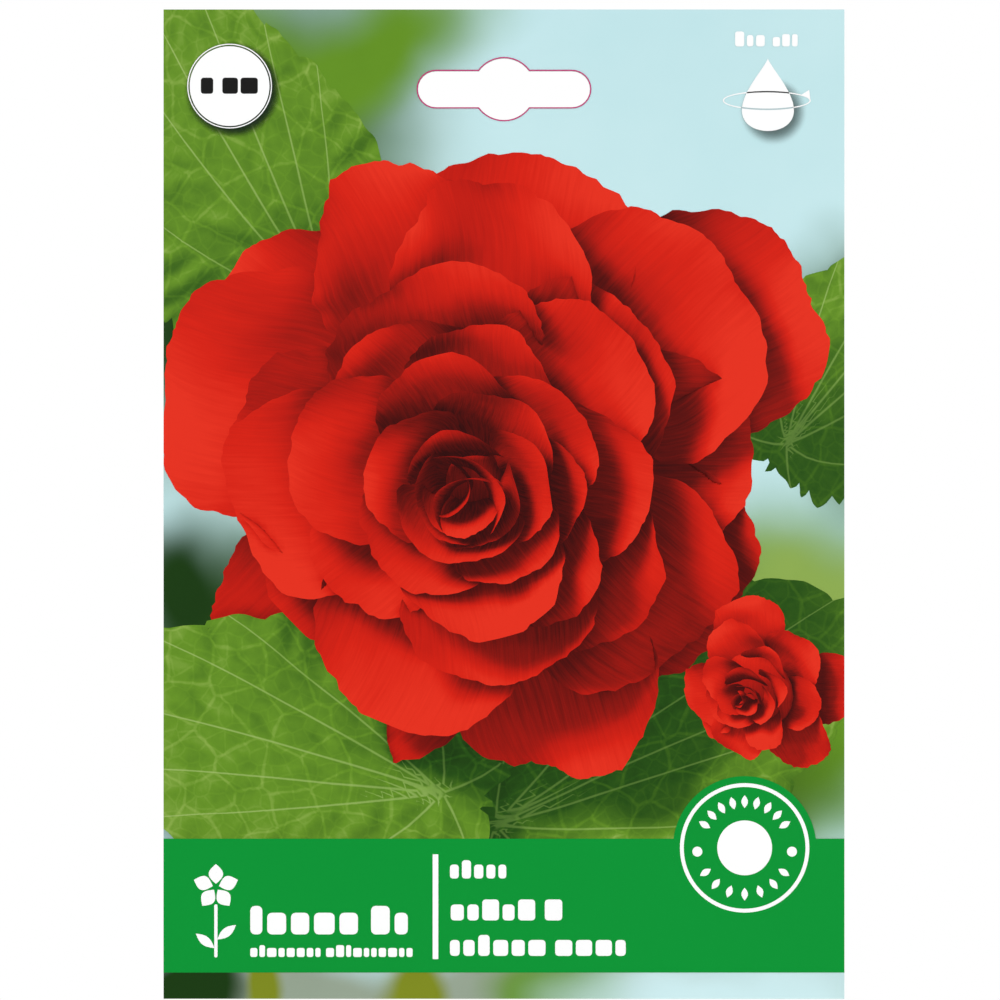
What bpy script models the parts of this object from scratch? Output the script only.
"""Retail hanging pack for one begonia tuber.

A flat printed card hangs from a round-eyed slot. A clear film pocket is sealed to its back and
holds one dormant tuber, 4 to 5 cm across, in a bed of wood shavings. Metres, +Z up, the printed
face looks along -Y. The origin is where a display hook carries the pack: the top of the slot's eye,
in the plane of the printed face.
"""

import math
import random

import bmesh
import bpy
from mathutils import Matrix, Vector, noise

# The card
CARD_WIDTH = 0.1267
CARD_HEIGHT = 0.1841
CARD_THICKNESS = 0.0005
TOP_EDGE_ABOVE_EYE = 0.0091

# The hang slot, a standard 32 mm one
SLOT_LENGTH = 0.032
SLOT_HEIGHT = 0.0067
EYE_RADIUS = 0.00573
ARC_STEPS = 12

# The clear pocket: a sealed flange round a soft bulge
TOUCHING_GAP = 0.0003
FILM_THICKNESS = 0.0006
FLANGE_WIDTH = 0.005
POCKET_WIDTH = 0.112
POCKET_TOP = -0.048
POCKET_BOTTOM = -0.170
POCKET_CORNER = 0.014
BULGE_DEPTH = 0.0285
BULGE_CENTRE = Vector((0.0, 0.0, -0.121))
FILM_SPOKES = 60
FILM_RINGS = 15
FLANGE_RINGS = 2
PUCKER_COUNT = 11
PUCKER_HEIGHT = 0.0011
VENT_RADIUS = 0.0033
VENT_SIDES = 12
VENT_COLUMNS = 3
VENT_ROWS = 2
VENT_PITCH = 0.024
VENT_ROW_DROP = 0.018
VENT_TOP = -0.064

# The tuber, with its hollow crown towards the film
TUBER_RADIUS = 0.0218
CROWN_HEIGHT = 0.0102
BASE_DEPTH = 0.0122
HOLLOW_DEPTH = 0.0062
HOLLOW_WIDTH = 0.42
TUBER_CENTRE = Vector((0.0, 0.0146, -0.121))
TUBER_SEGMENTS = 40
TUBER_RINGS = 22
BUD_COUNT = 7
ROOT_COUNT = 10
ROOTS_FROM_DEG = 50
ROOTS_TO_DEG = 132

# The shavings
SHAVING_COUNT = 76
SHAVING_WIDTH = 0.0052
SHAVING_THICKNESS = 0.0008
SHAVING_STEPS = 5
CURL_INSET = 0.0030
CORE_INSET = 0.0068
BED_TOP = -0.114
BED_SIDE_RISE = 3.0
CLEARANCE = 0.0005
TUBER_CLEARANCE = 0.0007

CARD_BACK = CARD_THICKNESS
FILM_FRONT = CARD_BACK + TOUCHING_GAP
POCKET_HEIGHT = POCKET_TOP - POCKET_BOTTOM
POCKET_CENTRE = Vector((0.0, 0.0, (POCKET_TOP + POCKET_BOTTOM) / 2))


def clear_scene():
    for old in list(bpy.data.objects):
        bpy.data.objects.remove(old)


def make_material(name, colour, roughness, metallic=0.0, alpha=1.0):
    material = bpy.data.materials.new(name)
    material.use_nodes = True
    shader = material.node_tree.nodes["Principled BSDF"]
    shader.inputs["Base Color"].default_value = (*colour, 1.0)
    shader.inputs["Roughness"].default_value = roughness
    shader.inputs["Metallic"].default_value = metallic
    shader.inputs["Alpha"].default_value = alpha
    return material


def add_object(name, bm, material=None):
    """Turns a bmesh into a named object in the scene, with its normals pointing out."""
    bmesh.ops.recalc_face_normals(bm, faces=bm.faces)
    mesh = bpy.data.meshes.new(name)
    bm.to_mesh(mesh)
    bm.free()
    made = bpy.data.objects.new(name, mesh)
    bpy.context.scene.collection.objects.link(made)
    if material:
        mesh.materials.append(material)
    return made


def as_helper(made):
    made.hide_render = True
    made.display_type = "WIRE"
    return made


def add_boolean(target, operation, helper, solver="EXACT"):
    cut = target.modifiers.new(operation.title(), "BOOLEAN")
    cut.operation = operation
    cut.solver = solver
    cut.object = helper


def apply_modifiers(made):
    """Keeps the evaluated mesh, so that helpers can be removed."""
    graph = bpy.context.evaluated_depsgraph_get()
    mesh = bpy.data.meshes.new_from_object(made.evaluated_get(graph))
    made.modifiers.clear()
    made.data = mesh


# The card and its slot


def arc(centre_x, centre_z, radius, start_deg, end_deg, steps=ARC_STEPS):
    """Points of an arc in the card's plane, as (x, z)."""
    points = []
    for i in range(steps + 1):
        angle = math.radians(start_deg + (end_deg - start_deg) * i / steps)
        points.append((centre_x + radius * math.cos(angle), centre_z + radius * math.sin(angle)))
    return points


def slot_outline():
    """A long slot with half-round ends and a round eye at its middle, anticlockwise."""
    middle_z = -EYE_RADIUS
    end_radius = SLOT_HEIGHT / 2
    end_x = SLOT_LENGTH / 2 - end_radius
    meet = math.degrees(math.asin(end_radius / EYE_RADIUS))
    return (
        arc(end_x, middle_z, end_radius, -90, 90)
        + arc(0.0, middle_z, EYE_RADIUS, meet, 180 - meet)
        + arc(-end_x, middle_z, end_radius, 90, 270)
        + arc(0.0, middle_z, EYE_RADIUS, 180 + meet, 360 - meet)
    )


def extruded_outline(outline, near_y, far_y):
    bm = bmesh.new()
    rim = [bm.verts.new((x, near_y, z)) for x, z in outline]
    face = bm.faces.new(rim)
    pushed = bmesh.ops.extrude_face_region(bm, geom=[face])
    moved = [v for v in pushed["geom"] if isinstance(v, bmesh.types.BMVert)]
    bmesh.ops.translate(bm, verts=moved, vec=(0.0, far_y - near_y, 0.0))
    return bm


def build_card():
    half = CARD_WIDTH / 2
    top = TOP_EDGE_ABOVE_EYE
    bottom = top - CARD_HEIGHT
    corners = [(half, bottom), (half, top), (-half, top), (-half, bottom)]
    board = make_material("printed_board", (0.92, 0.92, 0.90), 0.45)
    card = add_object("card", extruded_outline(corners, 0.0, CARD_THICKNESS), board)
    punch = extruded_outline(slot_outline(), -CARD_THICKNESS, 2 * CARD_THICKNESS)
    slot = as_helper(add_object("slot_punch", punch))
    add_boolean(card, "DIFFERENCE", slot)
    return card


# The film pocket


def rounded_reach(angle, half_width, low, high, corner):
    """Distance from the bulge's centre to a rounded rectangle's edge, along an angle in the card's plane.

    low and high are the rectangle's lowest and highest z, counted from the bulge's centre.
    """
    direction = Vector((math.cos(angle), math.sin(angle)))
    near, far = 0.0, 2 * (half_width + high - low)
    middle = Vector((0.0, (low + high) / 2))
    core = Vector((half_width - corner, (high - low) / 2 - corner))
    for _ in range(40):
        reach = (near + far) / 2
        offset = direction * reach - middle
        outside = Vector((max(abs(offset.x) - core.x, 0.0), max(abs(offset.y) - core.y, 0.0)))
        if outside.length > corner:
            far = reach
        else:
            near = reach
    return near


def seal_reach(angle, outward):
    """How far the seal's inner edge is at outward 0, and its outer edge at outward 1."""
    inset = FLANGE_WIDTH * (1 - outward)
    return rounded_reach(
        angle,
        POCKET_WIDTH / 2 - inset,
        POCKET_BOTTOM + inset - BULGE_CENTRE.z,
        POCKET_TOP - inset - BULGE_CENTRE.z,
        POCKET_CORNER - inset,
    )


def film_rise(angle, share):
    """How far the film stands off its flange, at a share of the way from the bulge's centre to the seal."""
    dome = max(1 - share**2.5, 0.0) ** 0.92
    pucker = math.sin(PUCKER_COUNT * angle + 1.7 * math.sin(3 * angle))
    near_seal = 12.2 * share**4 * (1 - share)
    return BULGE_DEPTH * dome + PUCKER_HEIGHT * pucker * near_seal


def film_point(angle, share, lift=0.0):
    reach = seal_reach(angle, 0.0) * share
    x = BULGE_CENTRE.x + reach * math.cos(angle)
    z = BULGE_CENTRE.z + reach * math.sin(angle)
    return Vector((x, FILM_FRONT + FILM_THICKNESS + film_rise(angle, share) + lift, z))


def polar_sheet(spokes, rings, point_at):
    """A round sheet of rings about one middle point. point_at takes an angle and a ring's number."""
    bm = bmesh.new()
    middle = bm.verts.new(point_at(0.0, 0))
    before = None
    for ring in range(1, rings + 1):
        row = [bm.verts.new(point_at(2 * math.pi * i / spokes, ring)) for i in range(spokes)]
        for i in range(spokes):
            after = (i + 1) % spokes
            if before is None:
                bm.faces.new((middle, row[i], row[after]))
            else:
                bm.faces.new((before[i], row[i], row[after], before[after]))
        before = row
    return bm


def vent_cutter(x, z):
    bm = bmesh.new()
    turn = Matrix.Rotation(math.radians(90), 4, "X")
    place = Matrix.Translation((x, BULGE_DEPTH / 2, z)) @ turn
    bmesh.ops.create_cone(
        bm,
        cap_ends=True,
        segments=VENT_SIDES,
        radius1=VENT_RADIUS,
        radius2=VENT_RADIUS,
        depth=2 * BULGE_DEPTH,
        matrix=place,
    )
    return bm


def build_film():
    def point_at(angle, ring):
        if ring <= FILM_RINGS:
            return film_point(angle, ring / FILM_RINGS)
        reach = seal_reach(angle, (ring - FILM_RINGS) / FLANGE_RINGS)
        x = BULGE_CENTRE.x + reach * math.cos(angle)
        z = BULGE_CENTRE.z + reach * math.sin(angle)
        return Vector((x, FILM_FRONT + FILM_THICKNESS, z))

    sheet = polar_sheet(FILM_SPOKES, FILM_RINGS + FLANGE_RINGS, point_at)
    bmesh.ops.recalc_face_normals(sheet, faces=sheet.faces)
    sheet.faces.ensure_lookup_table()
    if sheet.faces[0].normal.y < 0:
        bmesh.ops.reverse_faces(sheet, faces=sheet.faces)
    inner = bmesh.ops.extrude_face_region(sheet, geom=sheet.faces[:])
    moved = [v for v in inner["geom"] if isinstance(v, bmesh.types.BMVert)]
    bmesh.ops.translate(sheet, verts=moved, vec=(0.0, -FILM_THICKNESS, 0.0))
    clear = make_material("clear_film", (0.95, 0.97, 0.98), 0.12, alpha=0.3)
    film = add_object("film_pocket", sheet, clear)
    vents = bmesh.new()
    for row in range(VENT_ROWS):
        for column in range(VENT_COLUMNS):
            x = (column - (VENT_COLUMNS - 1) / 2) * VENT_PITCH
            cutter = vent_cutter(x, VENT_TOP - row * VENT_ROW_DROP)
            part = bpy.data.meshes.new("vent")
            cutter.to_mesh(part)
            cutter.free()
            vents.from_mesh(part)
            bpy.data.meshes.remove(part)
    add_boolean(film, "DIFFERENCE", as_helper(add_object("vent_punch", vents)))
    film.data.shade_smooth()
    return film


# The tuber


def tuber_outline(angle):
    """The tuber's radius round its axis: a lumpy, slightly lop-sided round."""
    swell = 0.035 * math.cos(2 * angle + 0.4) + 0.014 * math.cos(3 * angle + 0.9)
    return TUBER_RADIUS * (1 + swell + 0.016 * math.cos(5 * angle + 2.0))


def tuber_point(direction):
    """The place on the tuber's skin that a unit direction from its middle reaches."""
    angle = math.atan2(direction.z, direction.x)
    spread = math.sqrt(max(1 - direction.y**2, 0.0))
    if direction.y > 0:
        hollow = HOLLOW_DEPTH * math.exp(-((spread / HOLLOW_WIDTH) ** 2))
        scar = 0.0011 * math.exp(-(((spread - 0.2) / 0.07) ** 2))
        height = CROWN_HEIGHT * direction.y**0.8 - hollow * direction.y + scar
    else:
        height = -BASE_DEPTH * abs(direction.y) ** 0.9
    reach = tuber_outline(angle) * spread
    place = Vector((reach * math.cos(angle), height, reach * math.sin(angle)))
    lumps = noise.noise(place * 150 + Vector((3.1, 0.0, 0.0))) * 0.0017
    crust = noise.noise(place * 380 + Vector((0.0, 7.7, 0.0))) * 0.0012
    return TUBER_CENTRE + place + direction * (lumps + crust)


def tapered_stub(foot, tip, foot_radius, tip_radius, sides):
    """A closed cone frustum from foot to tip."""
    bm = bmesh.new()
    along = tip - foot
    turn = along.to_track_quat("Z", "Y").to_matrix().to_4x4()
    bmesh.ops.create_cone(
        bm,
        cap_ends=True,
        segments=sides,
        radius1=foot_radius,
        radius2=tip_radius,
        depth=along.length,
        matrix=Matrix.Translation((foot + tip) / 2) @ turn,
    )
    return bm


def bud(angle, spread, size):
    """A pointed bud: an egg shape that leans out of the crown's hollow."""
    across = math.sqrt(1 - spread**2)
    seat = tuber_point(Vector((spread * math.cos(angle), across, spread * math.sin(angle))))
    lean = Vector((0.35 * math.cos(angle), 1.0, 0.35 * math.sin(angle))).normalized()
    bm = bmesh.new()
    bmesh.ops.create_uvsphere(bm, u_segments=8, v_segments=6, radius=1.0)
    for v in bm.verts:
        taper = 1 - 0.45 * max(v.co.z, 0.0)
        v.co = Vector((v.co.x * taper * 0.6, v.co.y * taper * 0.6, v.co.z * 1.3)) * size
    turn = lean.to_track_quat("Z", "Y").to_matrix().to_4x4()
    bmesh.ops.transform(bm, matrix=Matrix.Translation(seat + lean * size * 0.25) @ turn, verts=bm.verts)
    return bm


def root_stub(rng, number):
    """A dry root end that lies against the tuber's rim or base."""
    step = (ROOTS_TO_DEG - ROOTS_FROM_DEG) / (ROOT_COUNT - 1)
    angle = math.radians(ROOTS_FROM_DEG + step * (number + rng.uniform(-0.3, 0.3)))
    height = rng.uniform(-0.6, 0.15)
    spread = math.sqrt(1 - height**2)
    direction = Vector((spread * math.cos(angle), height, spread * math.sin(angle)))
    foot = tuber_point(direction) - direction * 0.0012
    sweep = Vector((-direction.z, rng.uniform(-0.4, 0.4), direction.x)) * rng.choice((-1, 1))
    tip = foot + direction * rng.uniform(0.0022, 0.0032) + sweep * rng.uniform(0.0015, 0.004)
    tip.y = max(tip.y, CARD_BACK + 0.0014)
    return tapered_stub(foot, tip, 0.0011, 0.0005, 5)


def tuber_ball(segments, rings):
    """A round ball whose poles lie along Y, as the tuber's do."""
    bm = bmesh.new()
    turn = Matrix.Rotation(math.radians(90), 4, "X")
    bmesh.ops.create_uvsphere(bm, u_segments=segments, v_segments=rings, radius=1.0, matrix=turn)
    return bm


def build_tuber():
    skin = make_material("tuber_skin", (0.20, 0.11, 0.06), 0.85)
    bm = tuber_ball(TUBER_SEGMENTS, TUBER_RINGS)
    for v in bm.verts:
        v.co = tuber_point(v.co.normalized())
    tuber = add_object("begonia_tuber", bm, skin)
    rng = random.Random(5)
    grown = bpy.data.collections.new("growths")
    bpy.context.scene.collection.children.link(grown)
    shapes = []
    for i in range(BUD_COUNT):
        around = 2 * math.pi * i / BUD_COUNT + rng.uniform(-0.3, 0.3)
        shapes.append(bud(around, rng.uniform(0.3, 0.5), rng.uniform(0.0022, 0.0036)))
    shapes += [root_stub(rng, i) for i in range(ROOT_COUNT)]
    join_all(tuber, grown, shapes)
    tuber.data.shade_smooth()
    return tuber


def join_all(target, collection, shapes, solver="EXACT"):
    """Joins closed shapes to the target by one union, then removes them."""
    for shape in shapes:
        helper = as_helper(add_object("growth", shape))
        bpy.context.scene.collection.objects.unlink(helper)
        collection.objects.link(helper)
    union = target.modifiers.new("Join", "BOOLEAN")
    union.operation = "UNION"
    union.solver = solver
    union.operand_type = "COLLECTION"
    union.collection = collection
    bpy.context.view_layer.update()
    apply_modifiers(target)
    for helper in list(collection.objects):
        bpy.data.objects.remove(helper)
    bpy.data.collections.remove(collection)


# The shavings


def shaving(place, facing, roll, radius, sweep):
    """One curl: a thin strip rolled round part of a circle."""
    bm = bmesh.new()
    bmesh.ops.create_cube(bm, size=1.0)
    bmesh.ops.scale(bm, vec=(1.0, SHAVING_THICKNESS, SHAVING_WIDTH), verts=bm.verts)
    long_edges = [e for e in bm.edges if abs(e.verts[0].co.x - e.verts[1].co.x) > 0.5]
    bmesh.ops.subdivide_edges(bm, edges=long_edges, cuts=SHAVING_STEPS - 1, use_grid_fill=True)
    for v in bm.verts:
        angle = v.co.x * sweep
        reach = radius + v.co.y
        drift = v.co.x * SHAVING_WIDTH * 0.8
        v.co = Vector((reach * math.cos(angle), reach * math.sin(angle), v.co.z + drift))
    turn = facing.to_track_quat("Z", "Y").to_matrix().to_4x4() @ Matrix.Rotation(roll, 4, "Z")
    bmesh.ops.transform(bm, matrix=Matrix.Translation(place) @ turn, verts=bm.verts)
    return bm


def film_share(x, z):
    """Where a point of the card's plane lies between the bulge's centre (0) and the seal (1), and its angle."""
    angle = math.atan2(z - BULGE_CENTRE.z, x - BULGE_CENTRE.x)
    reach = math.hypot(x - BULGE_CENTRE.x, z - BULGE_CENTRE.z)
    return reach / seal_reach(angle, 0.0), angle


def cavity(inset, spokes=FILM_SPOKES, ring_step=1):
    """The space inside the pocket, kept inset away from the film and the card, as one closed body.

    It stops one of the film's rings short of the seal.
    """
    near_y = CARD_BACK + CLEARANCE
    thinnest = 0.0006

    def point_at(angle, ring):
        place = film_point(angle, ring * ring_step / FILM_RINGS, -FILM_THICKNESS - inset)
        place.y = max(place.y, near_y + thinnest)
        return place

    bm = polar_sheet(spokes, (FILM_RINGS - 1) // ring_step, point_at)
    front = bmesh.ops.extrude_face_region(bm, geom=bm.faces[:])
    for v in front["geom"]:
        if isinstance(v, bmesh.types.BMVert):
            v.co.y = near_y
    return bm


def bed_level_box():
    """Everything above the heap's top, to be cut away."""
    bm = bmesh.new()
    bmesh.ops.create_grid(bm, x_segments=14, y_segments=6, size=0.5)
    for v in bm.verts:
        x = v.co.x * 0.2
        y = v.co.y * 0.12 + 0.02
        hump = 0.004 * noise.noise(Vector((x * 60, y * 60, 0.3)))
        v.co = Vector((x, y, BED_TOP + hump + BED_SIDE_RISE * x * x))
    above = bmesh.ops.extrude_face_region(bm, geom=bm.faces[:])
    for v in above["geom"]:
        if isinstance(v, bmesh.types.BMVert):
            v.co.z = 0.05
    return bm


def tuber_room():
    """The tuber's own form, a little larger, which the bed keeps clear of."""
    bm = tuber_ball(TUBER_SEGMENTS, TUBER_RINGS)
    for v in bm.verts:
        direction = v.co.normalized()
        v.co = tuber_point(direction) + direction * TUBER_CLEARANCE
    return bm


def build_shavings():
    wood = make_material("wood_shavings", (0.72, 0.55, 0.34), 0.8)
    core = cavity(CLEARANCE + CORE_INSET, FILM_SPOKES // 3, 3)
    bed = add_object("wood_shavings", core, wood)
    level = as_helper(add_object("bed_level", bed_level_box()))
    add_boolean(bed, "DIFFERENCE", level)
    bpy.context.view_layer.update()
    apply_modifiers(bed)
    bpy.data.objects.remove(level)
    rng = random.Random(11)
    curls = bpy.data.collections.new("curls")
    bpy.context.scene.collection.children.link(curls)
    shapes = []
    while len(shapes) < SHAVING_COUNT:
        x = rng.uniform(-0.048, 0.048)
        z = rng.uniform(POCKET_BOTTOM + 0.008, BED_TOP + BED_SIDE_RISE * x * x)
        share, angle = film_share(x, z)
        clear_of_tuber = math.hypot(x - TUBER_CENTRE.x, z - TUBER_CENTRE.z) > 0.0235
        if share > 0.88 or not clear_of_tuber:
            continue
        place = film_point(angle, share, -FILM_THICKNESS - CURL_INSET * rng.uniform(0.8, 1.5))
        facing = Vector((rng.uniform(-1, 1), rng.uniform(-0.3, 0.6), rng.uniform(-1, 1))).normalized()
        radius = rng.uniform(0.0032, 0.0058)
        roll = rng.uniform(0, 2 * math.pi)
        shapes.append(shaving(place, facing, roll, radius, rng.uniform(2.6, 4.6)))
    join_all(bed, curls, shapes, "MANIFOLD")
    room = as_helper(add_object("pocket_room", cavity(CLEARANCE)))
    hollow = as_helper(add_object("tuber_room", tuber_room()))
    add_boolean(bed, "INTERSECT", room, "MANIFOLD")
    add_boolean(bed, "DIFFERENCE", hollow, "MANIFOLD")
    bpy.context.view_layer.update()
    apply_modifiers(bed)
    bpy.data.objects.remove(room)
    bpy.data.objects.remove(hollow)
    keep_largest_body(bed)
    return bed


def keep_largest_body(made):
    """Drops the scraps that trimming has cut loose."""
    bm = bmesh.new()
    bm.from_mesh(made.data)
    left = set(bm.verts)
    bodies = []
    while left:
        body = set()
        todo = [left.pop()]
        while todo:
            v = todo.pop()
            body.add(v)
            for edge in v.link_edges:
                other = edge.other_vert(v)
                if other in left:
                    left.remove(other)
                    todo.append(other)
        bodies.append(body)
    largest = max(bodies, key=len)
    scraps = [v for body in bodies if body is not largest for v in body]
    bmesh.ops.delete(bm, geom=scraps, context="VERTS")
    bm.to_mesh(made.data)
    bm.free()


def main():
    clear_scene()
    build_card()
    build_film()
    build_tuber()
    build_shavings()


main()
